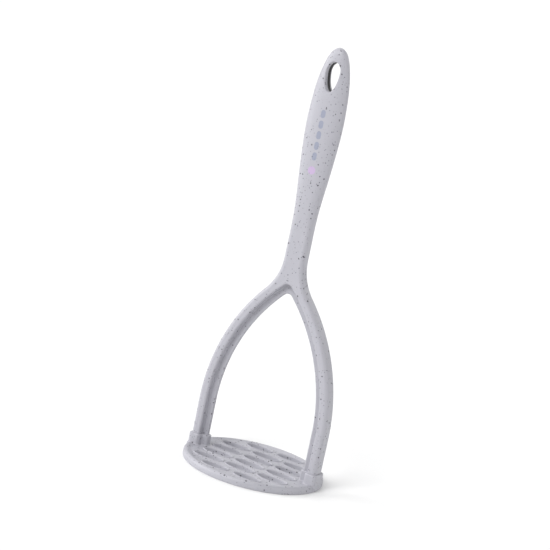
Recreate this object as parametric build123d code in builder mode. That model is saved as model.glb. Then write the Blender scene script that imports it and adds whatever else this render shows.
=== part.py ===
from build123d import *
import os
from math import atan2, degrees, sqrt

# A rigid potato masher: a dark nylon frame in a soft speckled skin, standing on a slotted oval plate.
# Origin: centre of the plate's underside. +Z runs up the handle, X across the fork, -Y is the front.
# All sizes are in millimetres.

# Plate
PLATE_HALF_X = 48.2
PLATE_HALF_Y = 43.2
PLATE_TOP = 4.2
RIM_ROUND_TOP = 2.0
RIM_ROUND_BOTTOM = 1.2

# Slots: three columns of four, and two shorter ones at the front and at the back
SLOT_PITCH_X = 23.8
SLOT_PITCH_Y = 12.5
SLOT_HALF_LENGTH = 10.2
SLOT_HALF_WIDTH = 4.2
END_SLOT_HALF_LENGTH = 9.2
END_SLOT_HALF_WIDTH = 3.7
SLOT_LIP = 1.2

# Fork: both legs rise straight, then bend inwards about a centre on the far side of the handle's axis
LEG_OUTSIDE_X = 47.0
BEND_Z = 35.5
BEND_RADIUS = 130.0
BEND_CENTRE_X = BEND_RADIUS - LEG_OUTSIDE_X
BAR_WIDTH = 6.1
BAR_HALF_DEPTH = 5.5
BAR_ROUND = 2.6
FIN_WIDTH = 4.5
FIN_HALF_DEPTH = 1.7
CROTCH_RADIUS = 3.8

# Neck and handle
NECK_HALF_WIDTH = 7.3
NECK_HALF_DEPTH = 4.5
NECK_BLEND = 35.0
NECK_Z = 150.0
BAR_TAPER_Z = 95.0
HANDLE_TOP = 280.0
GRIP_STEP = 0.04
# Each row is a level of the handle: height, half width, half depth, corner radius
HANDLE_LEVELS = [
    (NECK_Z, NECK_HALF_WIDTH + GRIP_STEP, NECK_HALF_DEPTH + GRIP_STEP, BAR_ROUND),
    (160.0, 7.35, 4.6, 2.9),
    (176.0, 8.0, 4.9, 3.6),
    (203.0, 10.8, 5.5, 4.7),
    (231.0, 12.5, 5.8, 5.3),
    (252.0, 11.6, 5.3, 4.9),
    (265.0, 9.3, 4.6, 4.3),
    (274.0, 6.6, 3.6, 3.4),
    (278.6, 3.6, 2.3, 2.1),
    (HANDLE_TOP, 1.2, 0.9, 0.8),
]

# Hanging eye, an egg with its wide end up: two half ellipses that meet where the eye is widest
EYE_WIDEST_Z = 264.4
EYE_HALF_WIDTH = 4.6
EYE_RISE = 6.3
EYE_DROP = 12.6
EYE_LIP = 0.8

# Sockets that hold the legs
SOCKET_WALL = 1.2
SOCKET_TOP = 11.4
SOCKET_LIP = 0.9
SOCKET_FIN_ROUND = 1.9

# Nylon frame inside the handle skin. It lies a little behind the middle of the handle.
CORE_SIDE_COVER = 2.3
CORE_FRONT_Y = -0.7
CORE_BACK_Y = 2.7
LEG_CORE_WIDTH = 3.5
LEG_CORE_HALF_DEPTH = 3.6
LEG_CORE_COVER = 1.3
FIN_CORE_HALF_DEPTH = 0.7
FIN_CORE_COVER = 1.4
TENON_BOTTOM = 2.0

# Nylon insert inside the plate skin
INSERT_BOTTOM = 1.1
INSERT_TOP = 3.1
INSERT_COVER = 1.6
INSERT_SLOT_COVER = 0.9
INSERT_SOCKET_WALL = 0.9
INSERT_SOCKET_TOP = 10.4


def fork_profile(outer_radius, inner_radius, neck_half_width, low):
    """Front outline of the fork and neck, from height low up to the neck.

    The outside of each leg is an arc about the bend centre, carried into the neck by a hollow arc that
    touches both. The inside is a second arc about the same centre, and a small arc closes the crotch.
    """
    blend_x = neck_half_width + NECK_BLEND
    blend_z = BEND_Z + sqrt((outer_radius + NECK_BLEND) ** 2 - (BEND_CENTRE_X + blend_x) ** 2)
    blend_turn = degrees(atan2(blend_z - BEND_Z, BEND_CENTRE_X + blend_x))
    crotch_z = BEND_Z + sqrt((inner_radius - CROTCH_RADIUS) ** 2 - BEND_CENTRE_X ** 2)
    crotch_turn = degrees(atan2(crotch_z - BEND_Z, BEND_CENTRE_X))
    outside_x = outer_radius - BEND_CENTRE_X
    inside_x = inner_radius - BEND_CENTRE_X
    with BuildSketch(Plane.XZ) as profile:
        with BuildLine():
            Line((inside_x, low), (outside_x, low))
            Line((outside_x, low), (outside_x, BEND_Z))
            CenterArc((-BEND_CENTRE_X, BEND_Z), outer_radius, 0, blend_turn)
            CenterArc((blend_x, blend_z), NECK_BLEND, 180, blend_turn)
            Line((neck_half_width, blend_z), (neck_half_width, NECK_Z))
            Line((neck_half_width, NECK_Z), (0, NECK_Z))
            CenterArc((0, crotch_z), CROTCH_RADIUS, crotch_turn, 90 - crotch_turn)
            CenterArc((-BEND_CENTRE_X, BEND_Z), inner_radius, 0, crotch_turn)
            Line((inside_x, BEND_Z), (inside_x, low))
            mirror(about=Plane.YZ)
        make_face()
    return profile.sketch


def eye_sketch():
    """Egg-shaped outline of the hanging eye: a low half ellipse above a tall one."""
    with BuildSketch(Plane.XZ) as eye:
        with BuildLine():
            EllipticalCenterArc((0, EYE_WIDEST_Z), EYE_HALF_WIDTH, EYE_RISE, 0, arc_size=180)
            EllipticalCenterArc((0, EYE_WIDEST_Z), EYE_HALF_WIDTH, EYE_DROP, 180, arc_size=180)
        make_face()
    return eye.sketch


def slot_sketch(grow, height):
    """All sixteen oval slots, each larger by grow all round, drawn at the given height."""
    with BuildSketch(Plane.XY.offset(height)) as slots:
        with GridLocations(SLOT_PITCH_X, SLOT_PITCH_Y, 3, 4):
            Ellipse(SLOT_HALF_LENGTH + grow, SLOT_HALF_WIDTH + grow)
        with GridLocations(SLOT_PITCH_X, 5 * SLOT_PITCH_Y, 2, 2):
            Ellipse(END_SLOT_HALF_LENGTH + grow, END_SLOT_HALF_WIDTH + grow)
    return slots.sketch


BAR_INNER_RADIUS = BEND_RADIUS - BAR_WIDTH
FIN_INNER_RADIUS = BAR_INNER_RADIUS - FIN_WIDTH
LEG_CORE_RADIUS = BEND_RADIUS - LEG_CORE_COVER
LEG_CORE_INNER_RADIUS = LEG_CORE_RADIUS - LEG_CORE_WIDTH
FIN_CORE_INNER_RADIUS = FIN_INNER_RADIUS + FIN_CORE_COVER
CORE_NECK_HALF_WIDTH = NECK_HALF_WIDTH - CORE_SIDE_COVER
LEG_CORE_X = LEG_CORE_RADIUS - BEND_CENTRE_X - LEG_CORE_WIDTH / 2
SOCKET_BAR_WIDTH = BAR_WIDTH + 2 * SOCKET_WALL
SOCKET_BAR_X = LEG_OUTSIDE_X - BAR_WIDTH / 2
SOCKET_FIN_INSIDE_X = FIN_INNER_RADIUS - BEND_CENTRE_X - SOCKET_WALL
SOCKET_FIN_WIDTH = SOCKET_BAR_X - SOCKET_FIN_INSIDE_X
SOCKET_FIN_X = SOCKET_BAR_X - SOCKET_FIN_WIDTH / 2

bar_profile = fork_profile(BEND_RADIUS, BAR_INNER_RADIUS, NECK_HALF_WIDTH, SOCKET_TOP)
fin_profile = fork_profile(BEND_RADIUS, FIN_INNER_RADIUS, NECK_HALF_WIDTH, SOCKET_TOP)
core_profile = fork_profile(LEG_CORE_RADIUS, LEG_CORE_INNER_RADIUS, CORE_NECK_HALF_WIDTH, TENON_BOTTOM)
fin_core_profile = fork_profile(LEG_CORE_RADIUS, FIN_CORE_INNER_RADIUS, CORE_NECK_HALF_WIDTH, SOCKET_TOP)
eye = eye_sketch()

# Handle frame: flat spine with the eye, two leg bars with a thin fin, and a tenon at the foot of each leg
with BuildPart() as handle_frame:
    extrude(core_profile, amount=LEG_CORE_HALF_DEPTH, both=True)
    extrude(fin_core_profile, amount=FIN_CORE_HALF_DEPTH, both=True)
    with BuildSketch(Plane.XZ.offset(-CORE_BACK_Y)) as spine:
        with BuildLine():
            side = [(w - CORE_SIDE_COVER, z) for z, w, d, r in HANDLE_LEVELS[:-2]]
            edge = Spline(*side, tangents=[(0, 1), (-1, 1)])
            tip = JernArc(edge @ 1, edge % 1, side[-1][0] / sqrt(0.5), 45)
            Line(tip @ 1, (0, NECK_Z))
            Line((0, NECK_Z), side[0])
            mirror(about=Plane.YZ)
        make_face()
    extrude(amount=CORE_BACK_Y - CORE_FRONT_Y)
    extrude(eye, amount=BAR_HALF_DEPTH, both=True, mode=Mode.SUBTRACT)

# Fork half of the soft skin: a deep rounded bar with a thin fin along its inner side
with BuildPart() as fork_skin:
    extrude(bar_profile, amount=BAR_HALF_DEPTH, both=True)
    with BuildSketch(Plane.YZ) as side_view:
        with BuildLine():
            Line((0, 0), (BAR_HALF_DEPTH, 0))
            Line((BAR_HALF_DEPTH, 0), (BAR_HALF_DEPTH, BAR_TAPER_Z))
            Spline(
                (BAR_HALF_DEPTH, BAR_TAPER_Z), (NECK_HALF_DEPTH, NECK_Z), tangents=[(0, 1), (0, 1)]
            )
            Line((NECK_HALF_DEPTH, NECK_Z), (0, NECK_Z))
            mirror(about=Plane.YZ)
        make_face()
    extrude(amount=LEG_OUTSIDE_X, both=True, mode=Mode.INTERSECT)
    long_edges = fork_skin.edges().filter_by(
        lambda e: abs(abs(e.center().Y) - NECK_HALF_DEPTH) < 1.2 and e.bounding_box().size.Z > 0.5
    )
    fillet(long_edges, BAR_ROUND)
    extrude(fin_profile, amount=FIN_HALF_DEPTH, both=True)

# Grip half of the soft skin, lofted through rounded sections
with BuildPart() as grip_skin:
    for level, half_width, half_depth, corner in HANDLE_LEVELS:
        with BuildSketch(Plane.XY.offset(level)):
            RectangleRounded(2 * half_width, 2 * half_depth, corner)
    loft()
    extrude(eye, amount=2 * BAR_HALF_DEPTH, both=True, mode=Mode.SUBTRACT)
    eye_edges = grip_skin.edges().filter_by(
        lambda e: abs(e.center().X) < EYE_HALF_WIDTH
        and EYE_WIDEST_Z - EYE_DROP - 1 < e.center().Z < EYE_WIDEST_Z + EYE_RISE + 1
        and abs(e.center().Y) > CORE_BACK_Y
    )
    fillet(eye_edges, EYE_LIP)

# The whole soft skin, moulded round the frame. It stops on the sockets, and only the tenons go into them.
with BuildPart() as handle_skin:
    add(fork_skin.part)
    add(grip_skin.part)
    add(handle_frame.part, mode=Mode.SUBTRACT)

# Stiff insert of the plate: an oval with open slots and a square socket under each leg
with BuildPart() as plate_insert:
    with BuildSketch(Plane.XY.offset(INSERT_BOTTOM)):
        Ellipse(PLATE_HALF_X - INSERT_COVER, PLATE_HALF_Y - INSERT_COVER)
    extrude(amount=INSERT_TOP - INSERT_BOTTOM)
    extrude(slot_sketch(INSERT_SLOT_COVER, 0), amount=PLATE_TOP, mode=Mode.SUBTRACT)
    with BuildSketch(Plane.XY.offset(INSERT_BOTTOM)):
        with GridLocations(2 * LEG_CORE_X, 0, 2, 1):
            Rectangle(
                LEG_CORE_WIDTH + 2 * INSERT_SOCKET_WALL, 2 * (LEG_CORE_HALF_DEPTH + INSERT_SOCKET_WALL)
            )
    extrude(amount=INSERT_SOCKET_TOP - INSERT_BOTTOM)
    add(handle_frame.part, mode=Mode.SUBTRACT)

# Both sockets, T-shaped like the legs and larger by one wall all round, with a rounded top edge
with BuildPart() as sockets:
    with BuildSketch(Plane.XY.offset(RIM_ROUND_BOTTOM)):
        with Locations((SOCKET_BAR_X, 0)):
            RectangleRounded(SOCKET_BAR_WIDTH, 2 * (BAR_HALF_DEPTH + SOCKET_WALL), BAR_ROUND + SOCKET_WALL)
        with Locations((SOCKET_FIN_X, 0)):
            RectangleRounded(SOCKET_FIN_WIDTH, 2 * (FIN_HALF_DEPTH + SOCKET_WALL), SOCKET_FIN_ROUND)
    extrude(amount=SOCKET_TOP - RIM_ROUND_BOTTOM)
    fillet(sockets.faces().sort_by(Axis.Z)[-1].edges(), SOCKET_LIP)
    mirror(about=Plane.YZ)

# Soft skin of the plate: rounded rim, slots with a rounded lip, and the two sockets
with BuildPart() as plate_skin:
    with BuildSketch():
        Ellipse(PLATE_HALF_X, PLATE_HALF_Y)
    extrude(amount=PLATE_TOP)
    fillet(plate_skin.edges().sort_by(Axis.Z)[-1], RIM_ROUND_TOP)
    fillet(plate_skin.edges().sort_by(Axis.Z)[0], RIM_ROUND_BOTTOM)
    extrude(slot_sketch(0, 0), amount=PLATE_TOP, mode=Mode.SUBTRACT)
    top_face = plate_skin.faces().filter_by(GeomType.PLANE).sort_by(Axis.Z)[-1]
    fillet(top_face.inner_wires().edges(), SLOT_LIP)
    add(sockets.part)
    add(plate_insert.part, mode=Mode.SUBTRACT)
    add(handle_frame.part, mode=Mode.SUBTRACT)

pieces = {
    "handle_frame": handle_frame,
    "handle_skin": handle_skin,
    "plate_insert": plate_insert,
    "plate_skin": plate_skin,
}
os.makedirs("parts", exist_ok=True)
for label, piece in pieces.items():
    piece.part.label = label
    export_step(piece.part, f"parts/{label}.step")
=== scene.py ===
import bmesh
import bpy
import numpy as np
from mathutils import Matrix, Vector


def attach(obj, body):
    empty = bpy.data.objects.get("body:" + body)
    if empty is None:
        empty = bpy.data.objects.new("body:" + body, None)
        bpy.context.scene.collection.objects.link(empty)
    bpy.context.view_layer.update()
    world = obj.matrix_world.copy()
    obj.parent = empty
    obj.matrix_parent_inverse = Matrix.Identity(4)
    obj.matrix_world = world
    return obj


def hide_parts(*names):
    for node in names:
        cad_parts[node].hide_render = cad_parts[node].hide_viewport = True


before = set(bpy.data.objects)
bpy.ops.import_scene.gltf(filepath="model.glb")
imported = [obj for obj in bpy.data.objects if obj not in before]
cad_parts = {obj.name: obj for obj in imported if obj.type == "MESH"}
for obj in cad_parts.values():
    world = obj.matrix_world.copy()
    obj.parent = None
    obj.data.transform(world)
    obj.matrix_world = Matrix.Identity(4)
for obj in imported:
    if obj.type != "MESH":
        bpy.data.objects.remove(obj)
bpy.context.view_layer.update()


# Insert of the plate and frame of the handle. Both are injection moulded in stiff near-black nylon, with the
# faint grain of the mould. The skins are moulded round them, and only the frame shows, in the hanging eye.
class Wire:
    """One socket of a material's nodes. Sums on it add Math nodes, and add() makes any other node."""

    def __init__(self, tree, socket=None):
        self.tree = tree
        self.socket = socket

    def add(self, kind, settings, values, output=0):
        """A new node: its settings first, then the values or wires of its sockets. Gives back one output."""
        node = self.tree.nodes.new(kind)
        for name, setting in settings.items():
            setattr(node, name, setting)
        for name, value in values.items():
            if isinstance(value, Wire):
                self.tree.links.new(value.socket, node.inputs[name])
            else:
                node.inputs[name].default_value = value
        return Wire(self.tree, node.outputs[output] if node.outputs else None)

    def sum(self, operation, first, second):
        return self.add("ShaderNodeMath", {"operation": operation}, {0: first, 1: second})

    def __add__(self, other):
        return self.sum("ADD", self, other)

    def __radd__(self, other):
        return self.sum("ADD", other, self)

    def __sub__(self, other):
        return self.sum("SUBTRACT", self, other)

    def __rsub__(self, other):
        return self.sum("SUBTRACT", other, self)

    def __mul__(self, other):
        return self.sum("MULTIPLY", self, other)

    def __rmul__(self, other):
        return self.sum("MULTIPLY", other, self)


def new_finish(name):
    """A material with nothing in it yet, and the wire that its nodes start from."""
    finish = bpy.data.materials.new(name)
    finish.use_nodes = True
    finish.node_tree.nodes.clear()
    return finish, Wire(finish.node_tree)


def give_finish(piece, finish):
    """The whole piece takes one finish."""
    piece.data.materials.clear()
    piece.data.materials.append(finish)


nylon, wire = new_finish("dark_nylon")
place = wire.add("ShaderNodeTexCoord", {}, {}, "Object")
grain = wire.add("ShaderNodeTexNoise", {}, {"Vector": place, "Scale": 2400.0, "Detail": 2.0})
cloud = wire.add("ShaderNodeTexNoise", {}, {"Vector": place, "Scale": 240.0, "Detail": 3.0})
shade = wire.add("ShaderNodeMix", {"data_type": "RGBA"}, {
    0: cloud, 6: (0.013, 0.012, 0.014, 1), 7: (0.026, 0.024, 0.028, 1)}, 2)
relief = wire.add("ShaderNodeBump", {}, {"Height": grain, "Strength": 0.15, "Distance": 0.0001})
surface = wire.add("ShaderNodeBsdfPrincipled", {}, {
    "Base Color": shade, "Roughness": 0.5 + 0.2 * cloud, "Normal": relief, "Specular IOR Level": 0.3})
wire.add("ShaderNodeOutputMaterial", {}, {"Surface": surface})
for node in ("plate_insert", "handle_frame"):
    give_finish(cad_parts[node], nylon)


# Skin of the plate. A soft speckled skin moulded over the insert: a thick oval with a rounded rim and sixteen
# slots. The rim stands a little proud of the top, and each slot has a fine raised lip that rolls over into
# it. Sizes are in millimetres.
MM = 0.001
WELD = 2e-6
CREASE = 0.7
PLATE = np.array([48.2, 43.2])
PLATE_TOP = 4.2
RIM_TOP = 2.0
RIM_FOOT = 0.7
RIM_LIFT = 0.7
RIM_SLOPE = 5.4
LIFT_FROM = 1.5
SLOT_STEP = np.array([23.8, 12.5])
SLOT = np.array([10.2, 4.2])
END_SLOT = np.array([9.2, 3.7])
LIP = 0.5
LIP_WIDTH = 0.32
LIP_ROLL = 1.0
LIP_ROOM = 0.94
SLOT_FOOT = 0.5


def quads(rows, columns):
    """Corner numbers of every four-sided face of a grid of rows by columns, wound row first."""
    corner = np.arange(rows * columns).reshape(rows, columns)
    return np.stack([corner[:-1, :-1], corner[:-1, 1:], corner[1:, 1:], corner[1:, :-1]], -1).reshape(-1, 4)


def mould(name, sheets):
    """One piece from several grids of points (rows, columns, 3) in millimetres: their shared edges are
    welded, open ends are closed, and every face is turned outwards."""
    points, faces, first = [], [], 0
    for sheet in sheets:
        points.append(sheet.reshape(-1, 3) * MM)
        faces.append(quads(*sheet.shape[:2]) + first)
        first += sheet.shape[0] * sheet.shape[1]
    mesh = bpy.data.meshes.new(name)
    mesh.from_pydata(np.concatenate(points), [], np.concatenate(faces))
    form = bmesh.new()
    form.from_mesh(mesh)
    bmesh.ops.remove_doubles(form, verts=form.verts, dist=WELD)
    bmesh.ops.dissolve_degenerate(form, edges=form.edges, dist=WELD)
    rims = [edge for edge in form.edges if edge.is_boundary]
    if rims:
        bmesh.ops.holes_fill(form, edges=rims, sides=0)
    bmesh.ops.recalc_face_normals(form, faces=form.faces)
    form.to_mesh(mesh)
    form.free()
    mesh.shade_smooth()
    mesh.set_sharp_from_angle(angle=CREASE)
    piece = bpy.data.objects.new(name, mesh)
    bpy.context.scene.collection.objects.link(piece)
    return piece


def oval(turn, inset=0.0):
    """Point of the plate's outline at an angle, moved in along the outline's normal by inset."""
    turn = np.asarray(turn, float)
    along = np.stack([np.cos(turn), np.sin(turn)], -1)
    out = along * PLATE[::-1]
    return along * PLATE - out / np.linalg.norm(out, axis=-1, keepdims=True) * inset


def turn_at(height):
    """Angle in the first quarter at which the edge of the top face reaches a value of y."""
    turns = np.linspace(0, np.pi / 2, 4001)
    return np.interp(height, oval(turns, RIM_TOP)[:, 1], turns)


def line(start, end, count):
    """Evenly spaced points from start to end, without the end."""
    return np.linspace(start, end, count)[:-1]


def side_cells():
    """Outlines of the cells about the slots beside the middle column in one quarter of the plate, as points
    that run round each cell, the last one about an end slot. Neighbours share points, so the cells weld."""
    half, row = SLOT_STEP[0] / 2, SLOT_STEP[1]
    cells = []
    for level in (0, 1):
        low, high = level * row, (level + 1) * row
        rim = oval(np.linspace(turn_at(low), turn_at(high), 19), RIM_TOP)
        cells.append(((SLOT_STEP[0], (level + 0.5) * row), SLOT, np.concatenate([
            line((half, low), rim[0], 29), rim[:-1], line(rim[-1], (half, high), 29),
            line((half, high), (half, low), 15)])))
    rim = oval(np.linspace(turn_at(2 * row), np.pi / 2, 61), RIM_TOP)
    cells.append(((half, 2.5 * row), END_SLOT, np.concatenate([
        line((0, 2 * row), (half, 2 * row), 15), line((half, 2 * row), rim[0], 29), rim[:-1],
        line(rim[-1], (0, 2 * row), 25)])))
    return cells


def middle_cells():
    """Outlines of the cells of the middle column, one above the other."""
    half, row = SLOT_STEP[0] / 2, SLOT_STEP[1]
    return [((0, low + row / 2), SLOT, np.concatenate([
        line((-half, low), (half, low), 29), line((half, low), (half, low + row), 15),
        line((half, low + row), (-half, low + row), 29), line((-half, low + row), (-half, low), 15)]))
        for low in (0, row)]


def slot_sheet(centre, slot, outline):
    """Faces about one slot, from the top's cell outline down through the slot to the underside. Rings follow
    the slot's ellipse moved out along its normal. The lip rises from the flat top as half a cosine wave and
    rolls into the slot as a quarter circle; below it are a straight wall and a small quarter circle at the
    foot. Where a cell is too narrow for the whole lip, room scales it down."""
    centre = np.asarray(centre)
    outline = np.concatenate([outline, outline[:1]])
    ray = outline - centre
    edge = ray / np.sqrt(((ray / slot) ** 2).sum(1, keepdims=True))
    out = edge / slot ** 2
    out /= np.linalg.norm(out, axis=1, keepdims=True)
    gap = np.maximum(((ray - edge) * out).sum(1, keepdims=True), 1e-6)
    room = np.minimum(1, gap / (LIP_ROLL + LIP_WIDTH) * LIP_ROOM)
    ring = lambda move, height: np.column_stack([
        centre + edge + out * room * move, np.full(len(ray), height)])
    rings = []
    start = edge + out * room * (LIP_ROLL + LIP_WIDTH)
    for share in (1 - np.linspace(0, 1, 14)) ** 1.3:
        at = centre + start + (ray - start) * share
        rings.append(np.column_stack([at, np.full(len(ray), PLATE_TOP)]))
    for part in np.linspace(0, 1, 9)[1:]:
        rise = LIP * (1 - np.cos(np.pi * part)) / 2
        rings.append(ring(LIP_ROLL + LIP_WIDTH * (1 - part), PLATE_TOP + rise))
    crest = PLATE_TOP + LIP
    for angle in np.linspace(0, np.pi / 2, 8)[1:]:
        rings.append(ring(LIP_ROLL * (1 - np.sin(angle)), crest - LIP_ROLL * (1 - np.cos(angle))))
    for angle in np.linspace(0, np.pi / 2, 5):
        rings.append(ring(SLOT_FOOT * (1 - np.cos(angle)), SLOT_FOOT * (1 - np.sin(angle))))
    foot = edge + out * room * SLOT_FOOT
    rings.append(np.column_stack([centre + (foot + ray) / 2, np.zeros(len(ray))]))
    rings.append(np.column_stack([centre + ray, np.zeros(len(ray))]))
    return np.array(rings)


def rim_sheet():
    """The rim: a quarter circle from the top face to the side, a short wall, then a quarter circle to the
    foot."""
    row = SLOT_STEP[1]
    turns = np.concatenate([
        np.linspace(turn_at(0), turn_at(row), 19)[:-1],
        np.linspace(turn_at(row), turn_at(2 * row), 19)[:-1],
        np.linspace(turn_at(2 * row), np.pi / 2, 61)])
    level = lambda inset, height: np.column_stack([oval(turns, inset), np.full(len(turns), height)])
    rows = [level(RIM_TOP * (1 - np.sin(a)), PLATE_TOP - RIM_TOP * (1 - np.cos(a)))
            for a in np.linspace(0, np.pi / 2, 11)]
    rows += [level(RIM_FOOT * (1 - np.cos(a)), RIM_FOOT * (1 - np.sin(a)))
             for a in np.linspace(0, np.pi / 2, 8)]
    rows.append(level(RIM_TOP, 0.0))
    return np.array(rows)


def raised_rim(sheet):
    """The rim stands proud: points near the edge are lifted by a smooth step of their distance in from the
    edge, in proportion to how high they are in the plate."""
    inside = (1 - np.hypot(sheet[..., 0] / PLATE[0], sheet[..., 1] / PLATE[1])) * PLATE.mean()
    near = np.clip((RIM_SLOPE - inside) / (RIM_SLOPE - RIM_TOP), 0, 1)
    high = np.clip((sheet[..., 2] - LIFT_FROM) / (PLATE_TOP - LIFT_FROM), 0, 1)
    lifted = sheet.copy()
    lifted[..., 2] += RIM_LIFT * near * near * (3 - 2 * near) * high
    return lifted


def reflected(sheets, across_x=True, across_y=True):
    """The sheets, and their reflections in x, in y and in both, as asked."""
    return [sheet * (x, y, 1) for sheet in sheets
            for x in ((1, -1) if across_x else (1,)) for y in ((1, -1) if across_y else (1,))]


# The two sockets are part of the plate's skin and hold the legs: T-shaped like them, one wall larger all
# round, rolled over at the top and spread into the plate at the foot.
BAR_MID = 43.95
SOCKET_BAR = np.array([8.5, 13.4])
SOCKET_FIN = np.array([8.75, 5.8])
SOCKET_FIN_END = 35.2
BAR_CORNER = 2.3
FIN_CORNER = 1.4
TEE_BLEND = 0.9
TEE_HUB = 40.6
TEE_REACH = 14.0
TEE_POINTS = 181
SOCKET_TOP = 11.4
SOCKET_ROLL = 0.8
SOCKET_SPREAD = 1.1
SOCKET_MOUTH = 0.6


def tee_outline(move):
    """Outline of a socket, moved out by move: for each direction from a point in the stem, the distance at
    which a smooth union of two rounded rectangles, given by their distance fields, reaches move. It is found
    by halving an interval forty times."""
    turns = np.linspace(0, 2 * np.pi, TEE_POINTS)
    hub = np.array([TEE_HUB, 0.0])
    ray = np.stack([np.cos(turns), np.sin(turns)], -1)

    def field(point):
        def box(middle, size, corner):
            q = np.abs(point - middle) - size / 2 + corner
            return np.linalg.norm(np.maximum(q, 0), axis=-1) + np.minimum(q.max(-1), 0) - corner
        bar = box(np.array([BAR_MID, 0]), SOCKET_BAR, BAR_CORNER)
        fin = box(np.array([SOCKET_FIN_END + SOCKET_FIN[0] / 2, 0]), SOCKET_FIN, FIN_CORNER)
        mix = np.clip(0.5 + 0.5 * (fin - bar) / TEE_BLEND, 0, 1)
        return fin + (bar - fin) * mix - TEE_BLEND * mix * (1 - mix)

    near, far = np.zeros(len(turns)), np.full(len(turns), TEE_REACH)
    for _ in range(40):
        middle = (near + far) / 2
        inside = field(hub + ray * middle[:, None]) < move
        near, far = np.where(inside, middle, near), np.where(inside, far, middle)
    return hub + ray * near[:, None]


def socket_sheet():
    """Rings from the foot of a socket to its mouth: a hollow quarter circle, the wall, the rolled top edge,
    and the flat mouth that meets the leg."""
    level = lambda move, height: np.column_stack([tee_outline(move), np.full(TEE_POINTS, height)])
    rows = [level(0.0, 1.0)]
    rows += [level(SOCKET_SPREAD * (1 - np.sin(a)), PLATE_TOP - 0.1 + SOCKET_SPREAD * (1 - np.cos(a)))
             for a in np.linspace(0, np.pi / 2, 8)]
    rows += [level(-SOCKET_ROLL * (1 - np.cos(a)), SOCKET_TOP - SOCKET_ROLL * (1 - np.sin(a)))
             for a in np.linspace(0, np.pi / 2, 9)]
    rows.append(level(-SOCKET_ROLL - SOCKET_MOUTH, SOCKET_TOP - 0.05))
    sheet = np.array(rows)
    sheet[:, :, 0] = np.minimum(sheet[:, :, 0], PLATE[0])
    return sheet


top = reflected([slot_sheet(*cell) for cell in side_cells()] + [rim_sheet()])
top += reflected([slot_sheet(*cell) for cell in middle_cells()], across_x=False)
plate = mould("plate_skin_soft", [raised_rim(sheet) for sheet in top])
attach(plate, "root")
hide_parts("plate_skin")
sockets = [mould("socket_" + side, [socket_sheet() * (x, 1, 1)])
           for side, x in (("right", 1), ("left", -1))]
for socket in sockets:
    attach(socket, "root")


# Skin of the handle, in one piece from the legs to the tip. The legs are deep rounded bars with a thin fin on
# the inside; they meet in a crotch, run into a flat neck, and swell into a crowned grip with the hanging eye.
FOOT_Z = 9.5
BEND = np.array([-83.0, 35.5])
OUTER_R = 130.0
BAR_R = 123.9
FIN_R = 119.4
CROTCH_R = 3.8
NECK = np.array([7.3, 4.5])
HOLLOW = np.array([42.3, 35.5 + np.sqrt(165.0 ** 2 - 125.3 ** 2)])
HOLLOW_R = 35.0
NECK_Z = 150.0
BAR_DEPTH = 5.5
BAR_ROLL = 2.6
BAR_INNER_ROLL = 1.3
FIN_DEPTH = 1.5
FIN_ROLL = 1.1
FIN_DISH = 0.36
COVE = 0.5


def crotch(radius):
    """Centre of the small arc that closes a crotch of that bend radius, and the turn at which it starts."""
    rise = np.sqrt((radius - CROTCH_R) ** 2 - BEND[0] ** 2)
    return np.array([0.0, BEND[1] + rise]), np.arctan2(rise, -BEND[0])


def arc(middle, radius, turns):
    return middle + radius * np.stack([np.cos(turns), np.sin(turns)], -1)


def inner_gap(point, radius):
    """How far points of the right half lie outside the inner outline of that bend radius: from the straight
    leg, from the bend's arc, or from the crotch's small arc, whichever faces them."""
    middle, turn = crotch(radius)
    ray = point - BEND
    leg = point[..., 0] - (BEND[0] + radius)
    bend = np.linalg.norm(ray, axis=-1) - radius
    top = np.linalg.norm(point - middle, axis=-1) - CROTCH_R
    about = np.arctan2(ray[..., 1], ray[..., 0])
    return np.where(point[..., 1] < BEND[1], leg, np.where(about < turn, bend, top))


def outer_gap(point):
    """How far points of the right half lie inside the outer outline: leg, bend, hollow arc, then neck."""
    ray = point - BEND
    turn = np.arctan2(HOLLOW[1] - BEND[1], HOLLOW[0] - BEND[0])
    leg = BEND[0] + OUTER_R - point[..., 0]
    bend = OUTER_R - np.linalg.norm(ray, axis=-1)
    hollow = np.linalg.norm(point - HOLLOW, axis=-1) - HOLLOW_R
    neck = NECK[0] - point[..., 0]
    about = np.arctan2(ray[..., 1], ray[..., 0])
    upper = np.where(point[..., 1] < HOLLOW[1], hollow, neck)
    return np.where(point[..., 1] < BEND[1], leg, np.where(about < turn, bend, upper))


def roll(gap, radius):
    """Drop of a rolled edge at a distance in from it: a quarter circle of that radius."""
    short = np.clip(radius - gap, 0, radius)
    return radius - np.sqrt(np.maximum(radius ** 2 - short ** 2, 0))


def bar_depth(height):
    """Half depth of the bars: even up the legs, then easing to the neck's."""
    share = np.clip((height - 95.0) / (NECK_Z - 95.0), 0, 1)
    return BAR_DEPTH + (NECK[1] - BAR_DEPTH) * share ** 2 * (3 - 2 * share)


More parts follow.
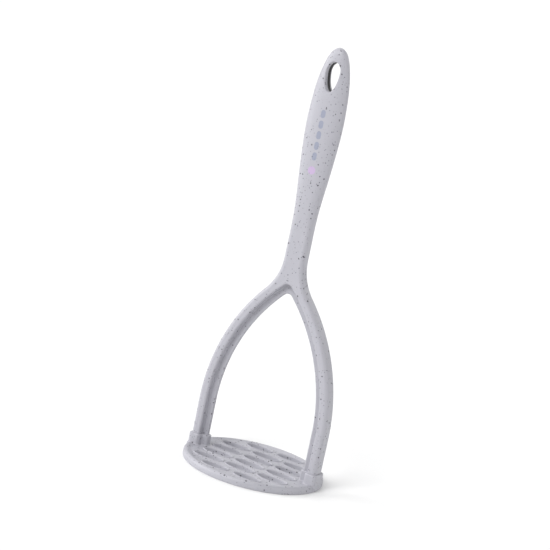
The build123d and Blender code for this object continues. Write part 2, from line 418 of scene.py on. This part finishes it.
def fork_sheet():
    """Front right quarter of the fork. Each column runs across the leg: up the fin's edge, over its dished
    face, up the cove and the bar's inner wall, over the bar, and down its outer wall. Columns follow the legs
    up, then fan out about the crotch until they reach the top of the neck."""
    fin_middle, fin_turn = crotch(FIN_R)
    bar_middle, bar_turn = crotch(BAR_R)
    outer_turn = np.arctan2(HOLLOW[1] - BEND[1], HOLLOW[0] - BEND[0])
    rise = np.linspace(FOOT_Z, BEND[1], 9)[:-1]
    share = np.linspace(0, 1, 64)[:-1]
    sweep = np.linspace(0, 1, 40)
    crown = np.linspace(0, 1, 25)[1:]
    across = NECK[0] * np.where(crown < 0.5, 1 - 0.5 * (1 - np.cos(crown * np.pi)) * 0.8,
                                1.2 * (1 - crown))
    straight = lambda x: np.column_stack([np.full(len(rise), x), rise])
    length = HOLLOW_R * outer_turn
    run = sweep * (length + NECK_Z - HOLLOW[1])
    side = np.where((run < length)[:, None], arc(HOLLOW, HOLLOW_R, np.pi + outer_turn - run / HOLLOW_R),
                    np.column_stack([np.full(len(run), NECK[0]), HOLLOW[1] + run - length]))
    outer = np.concatenate([straight(BEND[0] + OUTER_R), arc(BEND, OUTER_R, share * outer_turn), side,
                            np.column_stack([across, np.full(len(across), NECK_Z)])])

    def inner(radius, middle, turn):
        fan = turn + (np.pi / 2 - turn) * np.concatenate([sweep * 0.6, 0.6 + 0.4 * crown])
        return np.concatenate([straight(BEND[0] + radius), arc(BEND, radius, share * turn),
                               arc(middle, CROTCH_R, fan)])

    fin, bar = inner(FIN_R, fin_middle, fin_turn), inner(BAR_R, bar_middle, bar_turn)
    rows = []
    put = lambda at, depth: rows.append(np.column_stack([at[:, 0], -depth, at[:, 1]]))
    for part in (0.0, 0.5):
        put(fin, np.full(len(fin), (FIN_DEPTH - FIN_ROLL) * part))
    for part in np.concatenate([(1 - np.cos(np.linspace(0, np.pi / 2, 9))) * 0.32, [0.42, 0.55, 0.66],
                                0.75 + 0.25 * np.sin(np.linspace(0, np.pi / 2, 8))]):
        at = fin + (bar - fin) * part
        gap = -np.minimum(inner_gap(at, BAR_R), 0)
        cove = COVE - np.sqrt(np.maximum(COVE ** 2 - np.clip(COVE - gap, 0, COVE) ** 2, 0))
        cove -= FIN_DISH * np.sin(min(part / 0.8, 1) * np.pi / 2) ** 2
        put(at, FIN_DEPTH - roll(inner_gap(at, FIN_R), FIN_ROLL) + cove)
    depth = bar_depth(bar[:, 1]) - BAR_INNER_ROLL
    put(bar, (FIN_DEPTH - FIN_DISH + COVE + depth) / 2)
    ease = (1 - np.cos(np.linspace(0, np.pi / 2, 12)))
    for part in np.concatenate([ease * 0.36, [0.43, 0.5, 0.57], 1 - ease[::-1] * 0.36]):
        at = bar + (outer - bar) * part
        put(at, bar_depth(at[:, 1]) - roll(inner_gap(at, BAR_R), BAR_INNER_ROLL)
            - roll(outer_gap(at), BAR_ROLL))
    rows, wall = np.array(rows), outer[:len(outer) - len(crown)]
    depth = bar_depth(wall[:, 1]) - BAR_ROLL
    side_wall = np.array([np.column_stack([wall[:, 0], -depth * part, wall[:, 1]]) for part in (1, 0.5, 0)])
    top_edge = rows[-1, len(wall) - 1:][::-1]
    return rows, side_wall, np.concatenate([top_edge, side_wall[1:, -1]])


# Levels of the grip: height, half width and half depth
GRIP = np.array([
    (150.0, 7.30, 4.50), (160.0, 7.32, 4.60), (172.0, 7.75, 4.85), (184.0, 8.70, 5.15), (196.0, 10.0, 5.42),
    (208.0, 11.2, 5.64), (220.0, 12.1, 5.78), (231.0, 12.5, 5.80), (243.0, 12.2, 5.62), (255.0, 11.2, 5.20),
    (261.0, 10.3, 4.92), (267.0, 8.95, 4.52), (273.0, 7.05, 3.82), (277.0, 4.95, 2.85), (280.0, 0.0, 0.0)])
EYE_MID = 264.4
EYE = np.array([4.6, 6.3, 12.6])
EYE_ROLL = 0.8
EYE_CUT = 244.0
BAND = (-0.7, 2.7)


def through(height, column):
    """Half width or half depth at a height: a smooth cubic curve through the squares of the levels, so that
    the tip comes out round."""
    z, value = GRIP[:, 0], GRIP[:, column] ** 2
    slope = np.gradient(value, z)
    slope[0], slope[-1] = 0.0, (value[-1] - value[-2]) / (z[-1] - z[-2])
    at = np.clip(np.searchsorted(z, height, "right") - 1, 0, len(z) - 2)
    step = z[at + 1] - z[at]
    t = (height - z[at]) / step
    curve = ((1 + 2 * t) * (1 - t) ** 2 * value[at] + t * (1 - t) ** 2 * step * slope[at]
             + t * t * (3 - 2 * t) * value[at + 1] - t * t * (1 - t) * step * slope[at + 1])
    return np.sqrt(np.maximum(curve, 0))


def fullness(height):
    """Power of the section's curve: nearly an ellipse at the belly, a little fuller towards the neck."""
    return 2.35 + 0.9 * np.clip((215 - height) / 55, 0, 1) ** 1.5


def grip_sheet(neck):
    """Front right quarter of the grip from the neck to below the eye. Each ring keeps the directions of the
    neck's ring, whose rounded rectangle passes into a curve of the form x^n + y^n = 1, scaled by the width
    and the depth."""
    turn = np.arctan2(-neck[:, 1] / NECK[1], neck[:, 0] / NECK[0])
    square = np.hypot(neck[:, 0] / NECK[0], neck[:, 1] / NECK[1])
    rings = []
    for height in np.linspace(NECK_Z, EYE_CUT, 66):
        n = fullness(height)
        crowned = (np.abs(np.cos(turn)) ** n + np.abs(np.sin(turn)) ** n) ** (-1 / n)
        part = np.clip((height - NECK_Z) / 26, 0, 1)
        reach = square + (crowned - square) * part * part * (3 - 2 * part)
        rings.append(np.column_stack([
            through(height, 1) * reach * np.cos(turn), -through(height, 2) * reach * np.sin(turn),
            np.full(len(turn), height)]))
    rings = np.array(rings)
    rings[0] = neck
    return rings


def egg(turns, move=0.0):
    """Half outline of the eye from its foot up, at angles from -90 to 90 degrees, moved out along its
    normal: half an ellipse below the middle and half of a shorter one above it."""
    tall = np.where(turns < 0, EYE[2], EYE[1])
    out = np.column_stack([np.cos(turns) * tall, np.sin(turns) * EYE[0]])
    out /= np.linalg.norm(out, axis=1, keepdims=True)
    return np.column_stack([EYE[0] * np.cos(turns), EYE_MID + tall * np.sin(turns)]) + out * move


def egg_gap(point):
    """How far points lie outside the eye's outline, nearly."""
    lift = point[:, 1] - EYE_MID
    tall = np.where(lift < 0, EYE[2], EYE[1])
    size = np.hypot(point[:, 0] / EYE[0], lift / tall)
    return (size - 1) * size / np.hypot(point[:, 0] / EYE[0] ** 2, lift / tall ** 2)


def eye_sheets(ring):
    """The grip about the eye, front right quarter: columns fan out from the eye's outline to the last ring of
    the grip and then along the side to the tip. Then the wall of the eye, right half, with the groove that
    lets the frame's band show."""
    side = np.concatenate([EYE_CUT + (268 - EYE_CUT) * np.linspace(0, 1, 30)[1:],
                           268 + 12 * np.sin(np.linspace(0, np.pi / 2, 30)[1:])])
    outer = np.concatenate([ring[:, ::2], np.column_stack([through(side, 1), side])])
    split = np.radians(-38)
    turns = np.concatenate([np.linspace(-np.pi / 2, split, len(ring)),
                            np.linspace(split, np.pi / 2, len(side) + 1)[1:]])
    inner = egg(turns)
    lean = np.linspace(0, np.pi / 2, 9)
    rows = []
    for part in np.concatenate([(1 - np.cos(lean)) * 0.16, [0.22, 0.3, 0.4, 0.5],
                                0.6 + 0.4 * np.sin(np.linspace(0, np.pi / 2, 14))]):
        at = inner + (outer - inner) * part
        n = fullness(at[:, 1])
        wide = np.maximum(through(at[:, 1], 1), 1e-6)
        crown = np.maximum(1 - np.minimum(np.abs(at[:, 0]) / wide, 1) ** n, 0) ** (1 / n)
        depth = through(at[:, 1], 2) * crown
        rows.append(np.column_stack([at[:, 0], -depth + roll(egg_gap(at), EYE_ROLL), at[:, 1]]))
    rows[-1][:len(ring)] = ring
    rows[-1][len(ring):, 1] = 0.0
    rows = np.array(rows)
    front = rows[0, :, 1]
    wall = [rows[0]]
    for move, depth in ((0, (front + BAND[0] - 0.3) / 2), (0, BAND[0] - 0.28), (0.06, BAND[0] - 0.12),
                        (0.24, BAND[0] - 0.03), (1.3, BAND[0] - 0.03), (1.3, BAND[1] + 0.03),
                        (0.24, BAND[1] + 0.03), (0.06, BAND[1] + 0.12), (0, BAND[1] + 0.28), (0, -front)):
        at = egg(turns, move)
        wall.append(np.column_stack([at[:, 0], np.broadcast_to(depth, len(at)), at[:, 1]]))
    return rows, np.array(wall)


fork, side_wall, neck = fork_sheet()
grip = grip_sheet(neck)
eye_face, eye_wall = eye_sheets(grip[-1])
handle = mould("handle_skin_soft", reflected([fork, side_wall, grip, eye_face])
               + reflected([eye_wall], across_y=False))
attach(handle, "root")
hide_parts("handle_skin")


# Finish of both skins: a pale lilac-grey soft-touch rubber, with small dark flecks of a second rubber all
# through it, some of them faint and under the surface. The front of the grip has a plain print of dashes and
# a dot.
LILAC = (0.405, 0.402, 0.444, 1)
PALE_LILAC = (0.430, 0.427, 0.470, 1)
FAINT_FLECK = (0.13, 0.125, 0.16, 1)
DARK_FLECK = (0.045, 0.042, 0.055, 1)
BLUE_INK = (0.22, 0.25, 0.35, 1)
VIOLET_INK = (0.53, 0.37, 0.62, 1)
PRINT_EDGE = 0.0001
skin, wire = new_finish("speckled_skin")
place = wire.add("ShaderNodeTexCoord", {}, {}, "Object")
stir = wire.add("ShaderNodeTexNoise", {}, {"Vector": place, "Scale": 1300.0, "Detail": 1.0}, "Color")
stirred = wire.add("ShaderNodeVectorMath", {"operation": "MULTIPLY_ADD"}, {
    0: stir, 1: (0.0007, 0.0007, 0.0007), 2: place}, "Vector")


def flecks(shift, cells, least, reach, share, edge):
    """Flecks in a share of the cells of a foam, so many cells to the metre: each has its own size, from least
    to reach in cells, and its own darkness."""
    moved = wire.add("ShaderNodeVectorMath", {"operation": "ADD"}, {0: stirred, 1: shift}, "Vector")
    foam = wire.add("ShaderNodeTexVoronoi", {}, {"Vector": moved, "Scale": cells}, "Distance")
    hue = Wire(wire.tree, foam.socket.node.outputs["Color"])
    split = wire.add("ShaderNodeSeparateColor", {}, {"Color": hue}, "Red")
    own, dark = split, Wire(wire.tree, split.socket.node.outputs["Green"])
    size = wire.add("ShaderNodeMapRange", {}, {
        "Value": own, "From Min": 1 - share, "From Max": 1.0, "To Min": least, "To Max": reach})
    spot = wire.add("ShaderNodeMapRange", {"interpolation_type": "SMOOTHSTEP"}, {
        "Value": size - foam, "From Min": -edge, "From Max": edge, "To Min": 0.0, "To Max": 1.0})
    present = wire.add("ShaderNodeMapRange", {}, {
        "Value": own, "From Min": 1 - share, "From Max": 1 - share + 0.04, "To Min": 0.0, "To Max": 1.0})
    return spot * present, dark


big, big_dark = flecks((0.31, 0.17, 0.05), 420.0, 0.10, 0.27, 0.46, 0.03)
small, small_dark = flecks((0.08, 0.43, 0.22), 700.0, 0.12, 0.32, 0.50, 0.05)
strength = big * (0.62 + 0.38 * big_dark)
faint = small * (0.2 + 0.7 * small_dark)
mottle = wire.add("ShaderNodeTexNoise", {}, {"Vector": place, "Scale": 160.0, "Detail": 3.0})
rubber = wire.add("ShaderNodeMix", {"data_type": "RGBA"}, {
    0: mottle, 6: LILAC, 7: PALE_LILAC}, 2)


def over(mask, under, colour):
    """A colour laid over another where the mask is one."""
    return wire.add("ShaderNodeMix", {"data_type": "RGBA"}, {0: mask, 6: under, 7: colour}, 2)


across = wire.add("ShaderNodeSeparateXYZ", {}, {"Vector": place}, "X")
deep = Wire(wire.tree, across.socket.node.outputs["Y"])
height = Wire(wire.tree, across.socket.node.outputs["Z"])


def dashes(first, pitch, count, half_length, half_width):
    """A column of rounded dashes up the grip: how far each point of the front lies from the nearest dash."""
    step = (height - first) * (1 / pitch)
    near = wire.sum("MINIMUM", wire.sum("MAXIMUM", wire.sum("ROUND", step, 0.0), 0.0), count - 1.0)
    along = wire.sum("ABSOLUTE", (step - near) * pitch, 0.0) - (half_length - half_width)
    along = wire.sum("MAXIMUM", along, 0.0)
    away = wire.sum("SQRT", across * across + along * along, 0.0)
    return wire.add("ShaderNodeMapRange", {"interpolation_type": "SMOOTHSTEP"}, {
        "Value": away, "From Min": half_width + PRINT_EDGE, "From Max": half_width - PRINT_EDGE})


front = wire.sum("LESS_THAN", deep, 0.0)
print_worn = wire.add("ShaderNodeTexNoise", {}, {"Vector": place, "Scale": 1800.0, "Detail": 2.0})
bars = dashes(0.2105, 0.0068, 5, 0.0026, 0.0016) * front * (0.5 + 0.3 * print_worn)
dot = dashes(0.2015, 1.0, 1, 0.0026, 0.0026) * front * (0.55 + 0.3 * print_worn)
inked = over(dot, over(bars, rubber, BLUE_INK), VIOLET_INK)
flecked = over(strength, over(faint, inked, FAINT_FLECK), DARK_FLECK)
grain = wire.add("ShaderNodeTexNoise", {}, {"Vector": place, "Scale": 5200.0, "Detail": 2.0})
swell = wire.add("ShaderNodeTexNoise", {}, {"Vector": place, "Scale": 420.0, "Detail": 2.0})
relief = wire.add("ShaderNodeBump", {}, {
    "Height": grain * 0.35 + swell * 0.65, "Strength": 0.12, "Distance": 0.00012})
surface = wire.add("ShaderNodeBsdfPrincipled", {}, {
    "Base Color": flecked, "Roughness": 0.4 + 0.1 * mottle - 0.08 * big, "Normal": relief,
    "Specular IOR Level": 0.5})
wire.add("ShaderNodeOutputMaterial", {}, {"Surface": surface})
for piece in (plate, *sockets, handle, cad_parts["plate_skin"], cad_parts["handle_skin"]):
    give_finish(piece, skin)


# Stage: a plain white table under a white studio, lit by large soft lamps a long way off.
TABLE_SIZE = 30
bpy.ops.mesh.primitive_plane_add(size=TABLE_SIZE)
floor = bpy.context.object
floor.name = "floor"
table, wire = new_finish("white_table")
lit = wire.add("ShaderNodeBsdfPrincipled", {}, {
    "Base Color": (0.86, 0.86, 0.86, 1), "Roughness": 0.9, "Specular IOR Level": 0.1,
    "Emission Color": (1, 1, 1, 1), "Emission Strength": 0.06})
wire.add("ShaderNodeOutputMaterial", {}, {"Surface": lit})
give_finish(floor, table)

studio = bpy.data.worlds.new("studio")
studio.use_nodes = True
studio.node_tree.nodes.clear()
wire = Wire(studio.node_tree)
seen = wire.add("ShaderNodeLightPath", {}, {}, "Is Camera Ray")
room = wire.add("ShaderNodeBackground", {}, {"Color": (1, 1, 1, 1), "Strength": 0.25})
backdrop = wire.add("ShaderNodeBackground", {}, {"Color": (1, 1, 1, 1), "Strength": 1.05})
soft = wire.add("ShaderNodeMixShader", {}, {0: seen, 1: room, 2: backdrop})
wire.add("ShaderNodeOutputWorld", {}, {"Surface": soft})
bpy.context.scene.world = studio
bpy.context.scene.view_settings.view_transform = "Standard"


def soft_lamp(name, turn, height, spread, strength):
    """A far lamp in the direction turn, in degrees from the front towards the right, and height above the
    table. Its light comes from a patch of sky spread degrees wide."""
    lamp = bpy.data.lights.new(name, "SUN")
    lamp.angle, lamp.energy = np.radians(spread), strength
    turn, height = np.radians((turn, height))
    towards = Vector((np.sin(turn) * np.cos(height), -np.cos(turn) * np.cos(height), np.sin(height)))
    holder = bpy.data.objects.new(name, lamp)
    bpy.context.scene.collection.objects.link(holder)
    holder.rotation_euler = (-towards).to_track_quat("-Z", "Y").to_euler()


soft_lamp("left", -66, 18, 46, 2.15)
soft_lamp("front", -16, 44, 26, 1.45)
soft_lamp("back", -165, 38, 40, 0.50)
soft_lamp("back_left", -120, 46, 46, 0.65)
soft_lamp("right", 72, 18, 46, 0.80)
soft_lamp("back_right", 148, 26, 30, 0.55)

# Camera, a long lens a little right of the front and above, rolled so that the tool leans to the right.
STAND = (0.3728, -0.8192, 0.2924)
LEAN = 0.2062
camera = bpy.data.cameras.new("camera")
camera.sensor_width = 36.0
camera.lens = 92.84
ahead = Vector((-0.4189, 0.8905, -0.1776)).normalized()
right = ahead.cross(Vector((0, 0, 1))).normalized()
up = right.cross(ahead)
across = right * np.cos(LEAN) + up * np.sin(LEAN)
upward = up * np.cos(LEAN) - right * np.sin(LEAN)
viewer = bpy.data.objects.new("camera", camera)
turned = Matrix((across, upward, -ahead)).transposed().to_4x4()
viewer.matrix_world = Matrix.Translation(STAND) @ turned
bpy.context.scene.collection.objects.link(viewer)
bpy.context.scene.camera = viewer

bpy.context.view_layer.update()
